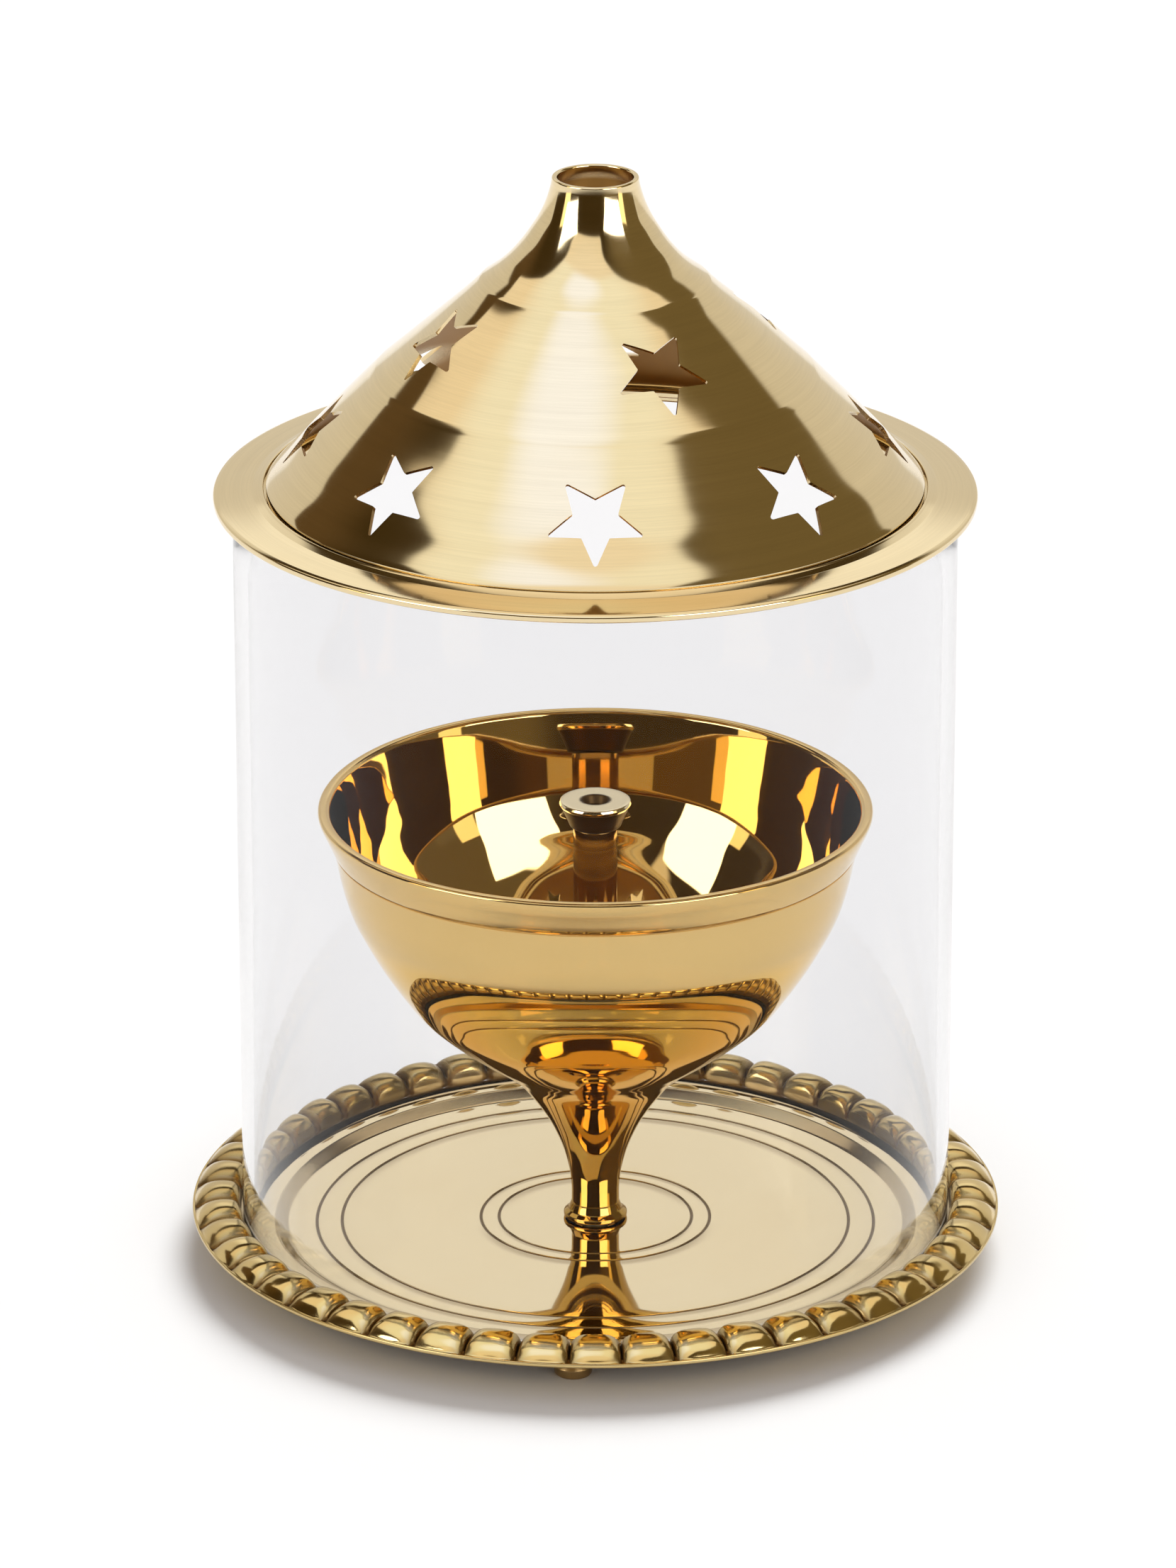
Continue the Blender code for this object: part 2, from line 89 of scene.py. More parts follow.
class Graph:
    """Short calls that add shader nodes to one tree."""

    def __init__(self, tree):
        self.nodes = tree.nodes
        self.links = tree.links

    def put(self, socket, value):
        """Link a socket, or set its constant."""
        if isinstance(value, bpy.types.NodeSocket):
            self.links.new(value, socket)
        else:
            socket.default_value = value

    def node(self, kind, **settings):
        """Add one node and set its properties."""
        made = self.nodes.new(kind)
        for key, value in settings.items():
            setattr(made, key, value)
        return made

    def math(self, operation, a, b=0.0):
        """One Math node."""
        made = self.node("ShaderNodeMath", operation=operation)
        self.put(made.inputs[0], a)
        self.put(made.inputs[1], b)
        return made.outputs[0]

    def add(self, a, b):
        return self.math("ADD", a, b)

    def sub(self, a, b):
        return self.math("SUBTRACT", a, b)

    def mul(self, a, b):
        return self.math("MULTIPLY", a, b)

    def div(self, a, b):
        return self.math("DIVIDE", a, b)

    def biggest(self, a, b):
        return self.math("MAXIMUM", a, b)

    def smallest(self, a, b):
        return self.math("MINIMUM", a, b)

    def step(self, value, low, high, to_low=0.0, to_high=1.0):
        """Smooth step from to_low at low to to_high at high."""
        made = self.node("ShaderNodeMapRange", interpolation_type="SMOOTHSTEP")
        self.put(made.inputs["Value"], value)
        self.put(made.inputs["From Min"], low)
        self.put(made.inputs["From Max"], high)
        self.put(made.inputs["To Min"], to_low)
        self.put(made.inputs["To Max"], to_high)
        return made.outputs["Result"]

    def below(self, value, low, high):
        """1 below low, falling to 0 at high."""
        return self.step(value, low, high, 1.0, 0.0)

    def band(self, value, low, high, soft):
        """1 between low and high, falling to 0 over soft outside them."""
        return self.mul(self.step(value, low - soft, low), self.below(value, high, high + soft))

    def split(self, vector):
        """X, Y and Z of a vector."""
        made = self.node("ShaderNodeSeparateXYZ")
        self.put(made.inputs[0], vector)
        return made.outputs[0], made.outputs[1], made.outputs[2]

    def join(self, x, y, z):
        """A vector from three numbers."""
        made = self.node("ShaderNodeCombineXYZ")
        for socket, value in zip(made.inputs, (x, y, z)):
            self.put(socket, value)
        return made.outputs[0]

    def noise(self, vector, scale, detail=2.0, rough=0.5):
        """One noise texture."""
        made = self.node("ShaderNodeTexNoise")
        self.put(made.inputs["Vector"], vector)
        self.put(made.inputs["Scale"], scale)
        self.put(made.inputs["Detail"], detail)
        self.put(made.inputs["Roughness"], rough)
        return made.outputs["Fac"]

    def mix(self, factor, a, b, blend="MIX"):
        """Mix two colours. Sockets 6 and 7 are the colours of a Mix node, and output 2 is its colour."""
        made = self.node("ShaderNodeMix", data_type="RGBA", blend_type=blend)
        self.put(made.inputs[0], factor)
        self.put(made.inputs[6], a)
        self.put(made.inputs[7], b)
        return made.outputs[2]

    def bump(self, height, distance, normal=None):
        """Bump of a height given in units of distance, in metres."""
        made = self.node("ShaderNodeBump")
        self.put(made.inputs["Strength"], 1.0)
        self.put(made.inputs["Distance"], distance)
        self.put(made.inputs["Height"], height)
        if normal is not None:
            self.put(made.inputs["Normal"], normal)
        return made.outputs[0]


def rgba(colour):
    """A colour with full alpha."""
    return (*colour, 1.0)


def new_material(name):
    """An empty Principled material, its graph and its shader."""
    material = bpy.data.materials.new(name)
    material.use_nodes = True
    g = Graph(material.node_tree)
    return material, g, g.nodes["Principled BSDF"]


# ---------------------------------------------------------------- studio

PANEL_EDGE = (1.04, 0.93, 0.76)
PANEL_FRONT = (1.06, 0.99, 0.88)
PANEL_FIELD = (1.10, 1.13, 1.10)
PANEL_MIDDLE = (1.20, 1.34, 1.80)
WALL_MIDDLE = (1.13, 1.11, 1.03)
WALL_SIDE = (0.76, 0.72, 0.64)
SOFTBOX_LIGHT = (4.5, 4.5, 4.5)
STRIP_LIGHT = (1.9, 1.6, 0.9)
ROOM_FRONT = (0.055, 0.034, 0.010)
ROOM_RIGHT = (0.180, 0.132, 0.055)
ROOM_LEFT = (0.120, 0.072, 0.028)
TABLE_BELOW = (0.95, 0.95, 0.95)
BACKDROP = (1.0, 1.0, 1.0)
FLOOR_SKY = (0.52, 0.48, 0.465)
FLOOR_PALE = 0.80
FLOOR_WIDTH = 8.0

# The overhead panel lies one unit up: its edges to the right, left, front and rear, and its hot spot.
PANEL_RIGHT = 0.60
PANEL_LEFT = -0.88
PANEL_NEAR = -1.02
PANEL_FAR = 0.86
PANEL_FLARE_FROM = 0.10
PANEL_RIGHT_FLARE = 0.42
PANEL_LEFT_FLARE = 0.45
HOT_SPOT = (-0.20, -0.22)

# The wall behind: half its width against its distance, and how much wider it is at the right and low down.
WALL_REACH = 0.93
WALL_MORE_RIGHT = 0.34
WALL_MORE_LOW = 2.2

# Each light is azimuth from the front, elevation, half width, half height and soft edge.
SOFTBOXES = ((41.0, 24.5, 0.315, 0.245, 0.012), (-57.0, 24.5, 0.245, 0.245, 0.012))
STRIPS = ((66.0, 12.0, 0.09, 0.24, 0.02), (-72.0, 12.0, 0.12, 0.24, 0.02))

# A broad soft lamp above, behind and to the right.
KEY_TOWARD = (0.24, 0.80, 0.72)
KEY_SPREAD = math.radians(36.0)
KEY_STRENGTH = 3.4
KEY_COLOUR = (1.0, 1.03, 1.045)


def light_mask(g, direction, azimuth, elevation, half_width, half_height, soft):
    """Mask of a rectangular light whose middle is at this azimuth and elevation, in degrees."""
    a = math.radians(azimuth)
    e = math.radians(elevation)
    middle = Vector((math.sin(a) * math.cos(e), -math.cos(a) * math.cos(e), math.sin(e)))
    side = Vector((math.cos(a), math.sin(a), 0.0))
    up = side.cross(-middle)
    if up.z < 0.0:
        up = -up

    def along(axis):
        made = g.node("ShaderNodeVectorMath", operation="DOT_PRODUCT")
        g.put(made.inputs[0], direction)
        made.inputs[1].default_value = axis
        return made.outputs["Value"]

    ahead = along(middle)
    safe = g.biggest(ahead, 0.05)
    width = g.band(g.div(along(side), safe), -half_width, half_width, soft)
    height = g.band(g.div(along(up), safe), -half_height, half_height, soft)
    return g.mul(g.mul(width, height), g.step(ahead, 0.05, 0.10))


def overhead_panel(g, x, y, z):
    """Mask and colour of the white panel overhead, brightest at its hot spot."""
    above = g.biggest(z, 0.02)
    u = g.div(x, above)
    v = g.div(y, above)
    right = g.add(PANEL_RIGHT, g.mul(PANEL_RIGHT_FLARE, g.smallest(v, PANEL_FLARE_FROM)))
    flare = g.biggest(g.sub(v, PANEL_FLARE_FROM), 0.0)
    left = g.sub(PANEL_LEFT, g.mul(PANEL_LEFT_FLARE, flare))
    mask = g.mul(g.below(g.sub(u, right), -0.03, 0.03), g.step(g.sub(u, left), -0.03, 0.03))
    mask = g.mul(mask, g.band(v, PANEL_NEAR, PANEL_FAR, 0.05))
    mask = g.mul(mask, g.step(z, 0.02, 0.10))
    across = g.math("POWER", g.sub(u, HOT_SPOT[0]), 2.0)
    away = g.math("POWER", g.sub(v, HOT_SPOT[1]), 2.0)
    off_middle = g.add(across, away)
    colour = g.mix(g.step(off_middle, 0.01, 0.14), rgba(PANEL_MIDDLE), rgba(PANEL_FIELD))
    colour = g.mix(g.below(v, -0.50, -0.37), colour, rgba(PANEL_FRONT))
    colour = g.mix(g.step(off_middle, 0.20, 0.80), colour, rgba(PANEL_EDGE))
    return mask, colour


def rear_wall(g, x, y, z):
    """Mask and colour of the white wall behind, duller at its sides and low down."""
    sideways = g.div(g.math("ABSOLUTE", x), g.biggest(y, 0.02))
    reach = g.add(WALL_REACH, g.mul(WALL_MORE_RIGHT, g.step(x, -0.05, 0.05)))
    reach = g.add(reach, g.step(z, 0.24, 0.36, WALL_MORE_LOW, 0.0))
    mask = g.mul(g.below(g.sub(sideways, reach), -0.04, 0.04), g.step(y, 0.02, 0.10))
    mask = g.mul(mask, g.below(z, 0.52, 0.57))
    duller = g.biggest(g.step(sideways, 0.05, 0.50), g.below(z, 0.33, 0.39))
    return mask, g.mix(duller, rgba(WALL_MIDDLE), rgba(WALL_SIDE))


def dark_room(g, x, y):
    """Colour of the room between the lights: darkest in front, lighter at the right and rear left."""
    colour = g.mix(g.step(x, 0.20, 0.55), rgba(ROOM_FRONT), rgba(ROOM_RIGHT))
    rear_left = g.mul(g.below(x, -0.75, -0.35), g.step(y, 0.15, 0.55))
    return g.mix(rear_left, colour, rgba(ROOM_LEFT))


def make_world():
    """A dark room with a white panel overhead, a white wall behind and softboxes and strips in front."""
    world = bpy.data.worlds.new("studio")
    bpy.context.scene.world = world
    world.use_nodes = True
    g = Graph(world.node_tree)
    direction = g.node("ShaderNodeTexCoord").outputs["Generated"]
    x, y, z = g.split(direction)
    panel, panel_colour = overhead_panel(g, x, y, z)
    wall, wall_colour = rear_wall(g, x, y, z)
    colour = g.mix(panel, dark_room(g, x, y), panel_colour)
    colour = g.mix(wall, colour, wall_colour)
    for lights, light in ((STRIPS, STRIP_LIGHT), (SOFTBOXES, SOFTBOX_LIGHT)):
        right, left = (light_mask(g, direction, *place) for place in lights)
        colour = g.mix(g.biggest(right, left), colour, rgba(light))
    colour = g.mix(g.below(z, -0.02, 0.02), colour, rgba(TABLE_BELOW))
    path = g.node("ShaderNodeLightPath")
    colour = g.mix(path.outputs["Is Diffuse Ray"], colour, rgba(FLOOR_SKY))
    colour = g.mix(path.outputs["Is Camera Ray"], colour, rgba(BACKDROP))
    background = g.nodes["Background"]
    g.put(background.inputs["Color"], colour)
    background.inputs["Strength"].default_value = 1.0


def make_floor():
    """A wide pale floor."""
    bpy.ops.mesh.primitive_plane_add(size=FLOOR_WIDTH, location=(0.0, 0.0, 0.0))
    floor = bpy.context.object
    floor.name = "studio_floor"
    material, _, shader = new_material("studio_floor")
    shader.inputs["Base Color"].default_value = (FLOOR_PALE, FLOOR_PALE, FLOOR_PALE, 1.0)
    shader.inputs["Roughness"].default_value = 0.9
    shader.inputs["Specular IOR Level"].default_value = 0.0
    floor.data.materials.append(material)


def make_key():
    """The soft lamp that lights the floor, and that neither the brass nor the glass mirrors."""
    key = bpy.data.lights.new("key", "SUN")
    key.angle = KEY_SPREAD
    key.energy = KEY_STRENGTH
    key.color = KEY_COLOUR
    lamp = bpy.data.objects.new("key", key)
    lamp.rotation_euler = Vector(KEY_TOWARD).to_track_quat("Z", "Y").to_euler()
    lamp.visible_glossy = False
    lamp.visible_transmission = False
    lamp.visible_camera = False
    bpy.context.scene.collection.objects.link(lamp)


make_world()
make_floor()
make_key()

# ---------------------------------------------------------------- outlines


def smooth_path(points, step):
    """Points along a centripetal Catmull-Rom curve through (radius, height) points, about step apart."""
    p = np.array(points, float)
    ends = [2.0 * p[0] - p[1], *p, 2.0 * p[-1] - p[-2]]
    out = [tuple(p[0])]
    for i in range(1, len(ends) - 2):
        a, b, c, d = ends[i - 1], ends[i], ends[i + 1], ends[i + 2]
        ta = 0.0
        tb = ta + max(np.linalg.norm(b - a), 1e-9) ** 0.5
        tc = tb + max(np.linalg.norm(c - b), 1e-9) ** 0.5
        td = tc + max(np.linalg.norm(d - c), 1e-9) ** 0.5
        count = max(1, int(math.ceil(np.linalg.norm(c - b) / step)))
        for k in range(1, count + 1):
            t = tb + (tc - tb) * k / count
            a1 = (tb - t) / (tb - ta) * a + (t - ta) / (tb - ta) * b
            a2 = (tc - t) / (tc - tb) * b + (t - tb) / (tc - tb) * c
            a3 = (td - t) / (td - tc) * c + (t - tc) / (td - tc) * d
            b1 = (tc - t) / (tc - ta) * a1 + (t - ta) / (tc - ta) * a2
            b2 = (td - t) / (td - tb) * a2 + (t - tb) / (td - tb) * a3
            out.append(tuple((tc - t) / (tc - tb) * b1 + (t - tb) / (tc - tb) * b2))
    return out


def rounded_path(corners, step=0.12):
    """A polyline through (radius, height, fillet) corners, with each fillet drawn as an arc."""
    out = []
    for i, (r, z, fillet) in enumerate(corners):
        here = np.array((r, z), float)
        if i in (0, len(corners) - 1) or fillet <= 0.0:
            out.append((r, z))
            continue
        before = np.array(corners[i - 1][:2], float) - here
        after = np.array(corners[i + 1][:2], float) - here
        u = before / np.linalg.norm(before)
        v = after / np.linalg.norm(after)
        half = math.acos(max(-1.0, min(1.0, float(u @ v)))) / 2.0
        if half > math.pi / 2.0 - 0.02:
            out.append((r, z))
            continue
        room = 0.48 * min(np.linalg.norm(before), np.linalg.norm(after))
        cut = min(fillet / math.tan(half), room)
        radius = cut * math.tan(half)
        middle = here + (u + v) / np.linalg.norm(u + v) * radius / math.sin(half)
        start = here + u * cut - middle
        finish = here + v * cut - middle
        sweep = math.atan2(start[0] * finish[1] - start[1] * finish[0], float(start @ finish))
        count = max(3, int(math.ceil(abs(sweep) * radius / step)))
        for k in range(count + 1):
            angle = sweep * k / count
            c, s = math.cos(angle), math.sin(angle)
            out.append((
                middle[0] + start[0] * c - start[1] * s,
                middle[1] + start[0] * s + start[1] * c,
            ))
    return out


def refine(path, step):
    """Split long straight stretches of a path."""
    out = [path[0]]
    for a, b in zip(path, path[1:]):
        length = math.hypot(b[0] - a[0], b[1] - a[1])
        count = max(1, int(math.ceil(length / step)))
        for k in range(1, count + 1):
            out.append((a[0] + (b[0] - a[0]) * k / count, a[1] + (b[1] - a[1]) * k / count))
    return out


def sample_curve(points, count):
    """Evenly spaced points along a smooth curve."""
    p = np.array(smooth_path(points, 0.2))
    s = np.concatenate([[0.0], np.cumsum(np.hypot(*np.diff(p, axis=0).T))])
    t = np.linspace(0.0, s[-1], count)
    return np.stack([np.interp(t, s, p[:, 0]), np.interp(t, s, p[:, 1])], 1)


# ---------------------------------------------------------------- meshes


def mesh_object(name, points, faces, body, replaced=(), sharp=32.0):
    """One smooth-shaded piece from points in millimetres, riding on its body."""
    mesh = bpy.data.meshes.new(name)
    mesh.from_pydata((np.asarray(points, float) * MM).tolist(), [], faces)
    mesh.validate()
    piece = bpy.data.objects.new(name, mesh)
    bpy.context.scene.collection.objects.link(piece)
    shade(piece, sharp)
    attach(piece, body)
    if replaced:
        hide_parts(*replaced)
    return piece


def shade(piece, sharp):
    """Outward normals, smooth faces and sharp edges above an angle in degrees."""
    shape = bmesh.new()
    shape.from_mesh(piece.data)
    bmesh.ops.recalc_face_normals(shape, faces=shape.faces)
    limit = math.radians(sharp)
    for face in shape.faces:
        face.smooth = True
    for edge in shape.edges:
        edge.smooth = not (len(edge.link_faces) == 2 and edge.calc_face_angle(0.0) > limit)
    shape.to_mesh(piece.data)
    shape.free()


def coordinates(piece):
    """Vertices of a piece in millimetres, one row each."""
    points = np.empty(len(piece.data.vertices) * 3)
    piece.data.vertices.foreach_get("co", points)
    return points.reshape(-1, 3) / MM


def mark(piece, values, name="shade"):
    """Store on each point, from 0 to 1, how far a second colour takes over there."""
    attribute = piece.data.attributes.new(name, "FLOAT", "POINT")
    attribute.data.foreach_set("value", np.asarray(values, np.float32))


def ring_faces(rows, sides, closed_path):
    """Quads between rows of rings, each ring with the same number of vertices."""
    faces = []
    last = rows if closed_path else rows - 1
    for i in range(last):
        j = (i + 1) % rows
        for k in range(sides):
            m = (k + 1) % sides
            faces.append((i * sides + k, i * sides + m, j * sides + m, j * sides + k))
    return faces


def lathe(path, sides, centre=(0.0, 0.0), closed=True):
    """Points and faces of a (radius, height) path turned about a vertical axis. Radius 0 closes a cap."""
    angles = np.arange(sides) * TURN / sides
    c, s = np.cos(angles), np.sin(angles)
    start_pole = path[0][0] < 1e-6
    end_pole = path[-1][0] < 1e-6
    body = path[1 if start_pole else 0:len(path) - 1 if end_pole else len(path)]
    rows = []
    for r, z in body:
        rows.append(np.stack([centre[0] + r * c, centre[1] + r * s, np.full(sides, z)], 1))
    points = np.concatenate(rows)
    poles = start_pole or end_pole
    faces = ring_faces(len(body), sides, closed and not poles)
    if start_pole:
        index = len(points)
        points = np.vstack([points, (centre[0], centre[1], path[0][1])])
        faces += [(index, (k + 1) % sides, k) for k in range(sides)]
    if end_pole:
        index = len(points)
        base = (len(body) - 1) * sides
        points = np.vstack([points, (centre[0], centre[1], path[-1][1])])
        faces += [(index, base + k, base + (k + 1) % sides) for k in range(sides)]
    return points, faces


def turned(name, path, sides, body, replaced, centre=(0.0, 0.0), sharp=32.0):
    """One turned piece."""
    points, faces = lathe(path, sides, centre)
    return mesh_object(name, points, faces, body, (replaced,), sharp)


def keep_cut(piece, cutters, sharp):
    """Take cutters away from a piece for good, then shade it again."""
    for cutter in cutters:
        modifier = piece.modifiers.new("cut", "BOOLEAN")
        modifier.operation = "DIFFERENCE"
        modifier.solver = "EXACT"
        modifier.object = cutter
    bpy.context.view_layer.update()
    graph = bpy.context.evaluated_depsgraph_get()
    cut = bpy.data.meshes.new_from_object(piece.evaluated_get(graph))
    piece.modifiers.clear()
    old = piece.data
    piece.data = cut
    bpy.data.meshes.remove(old)
    for cutter in cutters:
        bpy.data.objects.remove(cutter, do_unlink=True)
    shade(piece, sharp)


# ---------------------------------------------------------------- materials

LID_BRASS = (0.80, 0.655, 0.40)
BOWL_BRASS = (0.80, 0.56, 0.225)
TRAY_BRASS = (0.82, 0.68, 0.45)
RIM_BRASS = (0.76, 0.585, 0.27)
WICK_BRASS = (0.55, 0.34, 0.13)
TIP_BRASS = (0.84, 0.72, 0.50)
FOOT_SHADED_BRASS = (0.45, 0.30, 0.13)
# Deeper gold painted on the lower bowl as a reflection of the tray.
TRAY_REFLECTION_GOLD = (0.90, 0.57, 0.13)
# Darker brown painted on the stem as shade under the bowl.
STEM_PAINTED_SHADE = (0.56, 0.35, 0.085)
LINING = (0.36, 0.19, 0.05)
# Patina for hollows, also used as painted shade on the tray's slope and ledge and on the rim.
PATINA_AND_SHADE = (0.13, 0.066, 0.018)
# Painted shade for the nozzle's bore and its underside.
NOZZLE_SHADE = (0.10, 0.055, 0.02)
STEEL_DARK = (0.50, 0.50, 0.49)
STEEL_LIGHT = (0.66, 0.65, 0.63)
GLASS_TINT = (0.899, 0.901, 0.909)
GLASS_MIRROR = (0.08, 0.08, 0.08)
GLASS_IOR = 1.47
LEAST_ROUGHNESS = 0.015


def surface_space(g):
    """Object position, then radius and height in millimetres and the angle from the front in radians."""
    position = g.node("ShaderNodeTexCoord").outputs["Object"]
    x, y, z = g.split(position)
    radius = g.math("SQRT", g.add(g.mul(x, x), g.mul(y, y)))
    angle = g.math("ARCTAN2", x, g.mul(y, -1.0))
    return position, g.mul(radius, 1.0 / MM), g.mul(z, 1.0 / MM), angle


def brass(name, colour, rough, spread, lines, wave, smudge, anisotropy=0.0, colour_overlays=()):
    """Turned, spun or cast brass: fine lines round the axis, faint waves, smudges and uneven polish.

    lines is (lines per millimetre, height in metres, depth of tone), and wave is (length in millimetres,
    height in metres). Each overlay is (point attribute, colour, extra roughness); overlays give patina and
    unpolished metal, and also painted shade and a painted reflection.
    """
    material, g, shader = new_material(name)
    position, radius, height, angle = surface_space(g)
    per_mm, line_height, line_tone = lines
    length, wave_height = wave

    broad = g.noise(position, 55.0, 3.0, 0.55)
    fine = g.noise(position, 420.0, 3.0, 0.6)
    across = g.join(g.mul(radius, per_mm), g.mul(height, per_mm), g.mul(angle, 1.6))
    scratches = g.noise(across, 1.0, 5.0, 0.72)
    wide = per_mm * 0.18
    coarse = g.noise(g.join(g.mul(radius, wide), g.mul(height, wide), g.mul(angle, 0.7)), 1.0, 2.0)

    uneven = g.add(g.mul(g.sub(broad, 0.5), spread * 1.6), g.mul(g.sub(fine, 0.5), spread * 0.5))
    uneven = g.add(uneven, g.mul(g.sub(coarse, 0.5), spread * 0.8))
    roughness = g.biggest(g.add(rough, uneven), LEAST_ROUGHNESS)

    warm = (colour[0] * 0.90, colour[1] * 0.80, colour[2] * 0.62)
    tinted = g.mix(g.step(broad, 0.35, 0.75, 0.0, smudge * 2.0), rgba(colour), rgba(warm))
    grain = g.add(g.mul(scratches, 0.65), g.mul(coarse, 0.35))
    streak = g.step(grain, 0.30, 0.70, 1.0 - line_tone, 1.0 + line_tone)
    tinted = g.mix(1.0, tinted, g.join(streak, streak, streak), "MULTIPLY")
    for attribute, deep, dull in colour_overlays:
        mask = g.node("ShaderNodeAttribute", attribute_name=attribute).outputs["Fac"]
        tinted = g.mix(mask, tinted, rgba(deep))
        roughness = g.add(roughness, g.mul(mask, dull))
    g.put(shader.inputs["Roughness"], roughness)
    g.put(shader.inputs["Base Color"], tinted)
    shader.inputs["Metallic"].default_value = 1.0
    if anisotropy:
        shader.inputs["Anisotropic"].default_value = anisotropy
        shader.inputs["Anisotropic Rotation"].default_value = 0.25
        tangent = g.node("ShaderNodeTangent", direction_type="RADIAL", axis="Z")
        g.put(shader.inputs["Tangent"], tangent.outputs[0])

    normal = g.bump(scratches, line_height)
    normal = g.bump(g.noise(position, 1000.0 / length, 1.5, 0.4), wave_height, normal)
    g.put(shader.inputs["Normal"], normal)
    return material


lid_metal = brass(
    "lid_spun_brass", LID_BRASS, rough=0.085, spread=0.03, lines=(3.0, 0.8e-7, 0.045), wave=(9.0, 4e-6),
    smudge=0.06, anisotropy=0.6, colour_overlays=(("shade", LINING, 0.25),),
)
# The lower bowl carries a painted reflection of the tray, and its stem painted shade.
bowl_metal = brass(
    "bowl_mirror_brass", BOWL_BRASS, rough=0.026, spread=0.014, lines=(2.0, 1e-8, 0.012), wave=(8.0, 1e-6),
    smudge=0.06, colour_overlays=(("shade", TRAY_REFLECTION_GOLD, 0.0), ("stem", STEM_PAINTED_SHADE, 0.0)),
)
tray_metal = brass(
    "tray_turned_brass", TRAY_BRASS, rough=0.045, spread=0.02, lines=(2.0, 1e-8, 0.010), wave=(14.0, 1e-6),
    smudge=0.05, colour_overlays=(("shade", PATINA_AND_SHADE, 0.30),),
)
rim_metal = brass(
    "rim_cast_brass", RIM_BRASS, rough=0.11, spread=0.06, lines=(1.2, 2e-7, 0.02), wave=(2.6, 4e-5),
    smudge=0.12, colour_overlays=(("shade", PATINA_AND_SHADE, 0.25),),
)
wick_metal = brass(
    "wick_turned_brass", WICK_BRASS, rough=0.14, spread=0.05, lines=(3.0, 2e-7, 0.08), wave=(4.0, 3e-6),
    smudge=0.12,
)
tip_metal = brass(
    "wick_tip_brass", TIP_BRASS, rough=0.10, spread=0.04, lines=(4.0, 1e-7, 0.04), wave=(4.0, 1e-6),
    smudge=0.08, colour_overlays=(("shade", NOZZLE_SHADE, 0.35),),
)
# Cast brass for the feet, darkened as painted shade under the tray.
foot_shaded_metal = brass(
    "foot_cast_brass_in_shade", FOOT_SHADED_BRASS, rough=0.30, spread=0.08, lines=(2.0, 5e-7, 0.05), wave=(3.0, 6e-6),
    smudge=0.15,
)


def make_steel():
    """Plain bright steel for the hidden screw and washer, with turning marks."""
    material, g, shader = new_material("bright_steel")
    _, radius, height, angle = surface_space(g)
    rings = g.noise(g.join(g.mul(radius, 9.0), g.mul(height, 9.0), angle), 1.0, 4.0, 0.7)
    g.put(shader.inputs["Roughness"], g.add(0.26, g.mul(rings, 0.12)))
    g.put(shader.inputs["Base Color"], g.mix(rings, rgba(STEEL_DARK), rgba(STEEL_LIGHT)))
    shader.inputs["Metallic"].default_value = 1.0
    g.put(shader.inputs["Normal"], g.bump(rings, 4e-6))
    return material


def make_glass():
    """Clear glass with a faint unevenness round it and a few dull specks."""
    material, g, shader = new_material("clear_glass")
    position, _, height, angle = surface_space(g)
    shader.inputs["Base Color"].default_value = rgba(GLASS_TINT)
    shader.inputs["Transmission Weight"].default_value = 1.0
    shader.inputs["IOR"].default_value = GLASS_IOR
    shader.inputs["Specular Tint"].default_value = rgba(GLASS_MIRROR)
    dust = g.noise(position, 900.0, 2.0, 0.5)
    g.put(shader.inputs["Roughness"], g.step(dust, 0.62, 0.80, 0.0, 0.03))
    sway = g.noise(g.join(g.mul(angle, 6.0), g.mul(height, 0.02), 0.0), 1.0, 1.0)
    g.put(shader.inputs["Normal"], g.bump(sway, 6e-6))
    return material


steel = make_steel()
glass = make_glass()

# ---------------------------------------------------------------- tray

TRAY_SIDES = 400
GROOVE_RADII = (15.5, 18.4, 40.7, 44.7)
GROOVE_DEPTH = 0.16
GROOVE_HALF = 0.26
BORE_RADIUS = 2.5
SLOPE_FROM = 49.3
SLOPE_TO = 51.2
LEDGE_EDGE = 57.5

RIM_ROWS = 44
RIM_INNER = 57.25
TRAY_RADIUS = 65.0
GADROONS = 48
GADROON_STEPS = 28


def tray_floor_path():
    """Tray floor with its four turned grooves and the ledge that carries the glass."""
    path = [
        (BORE_RADIUS, CASTING_UNDER), (BORE_RADIUS, FLOOR_TOP - 0.2), (BORE_RADIUS + 0.2, FLOOR_TOP),
    ]
    half = [(0.3, 0.95), (0.7, 0.5), (1.0, 0.06), (1.3, 0.0)]
    section = [(-across, depth) for across, depth in reversed(half)] + half
    for middle in GROOVE_RADII:
        for across, depth in section:
            path.append((middle + across * GROOVE_HALF, FLOOR_TOP - depth * GROOVE_DEPTH))
    path += rounded_path([
        (SLOPE_FROM - 1.1, FLOOR_TOP, 0.0), (SLOPE_FROM, FLOOR_TOP, 1.6), (SLOPE_TO, LEDGE_TOP, 0.9),
        (LEDGE_EDGE, LEDGE_TOP, 0.0),
    ], 0.15)
    path += [(LEDGE_EDGE, CASTING_UNDER)]
    return refine(path, 2.5)


def make_tray_floor():
    """The turned floor of the tray, dark in its grooves, with painted shade on its slope and on the ledge
    beside the glass.
    """
    piece = turned(
        "tray_floor", tray_floor_path(), TRAY_SIDES, "base", "base_plate", sharp=70.0
    )
    piece.data.materials.append(tray_metal)
    points = coordinates(piece)
    radius = np.hypot(points[:, 0], points[:, 1])
    height = points[:, 2]
    grooved = (radius > GROOVE_RADII[0] - 5.5) & (radius < GROOVE_RADII[-1] + 2.3)
    sunk = grooved & (height > FLOOR_TOP - 0.4) & (height < FLOOR_TOP - 0.02)
    slope = (radius > SLOPE_FROM) & (radius < SLOPE_TO + 0.2)
    # Painted shade on the slope and on the ledge where the glass stands inside the rim.
    painted_ledge_shade = np.where(radius > LEDGE_EDGE - 4.0, 0.55, np.where(slope, 0.25, 0.0))
    mark(piece, np.where(sunk, 0.85, painted_ledge_shade))


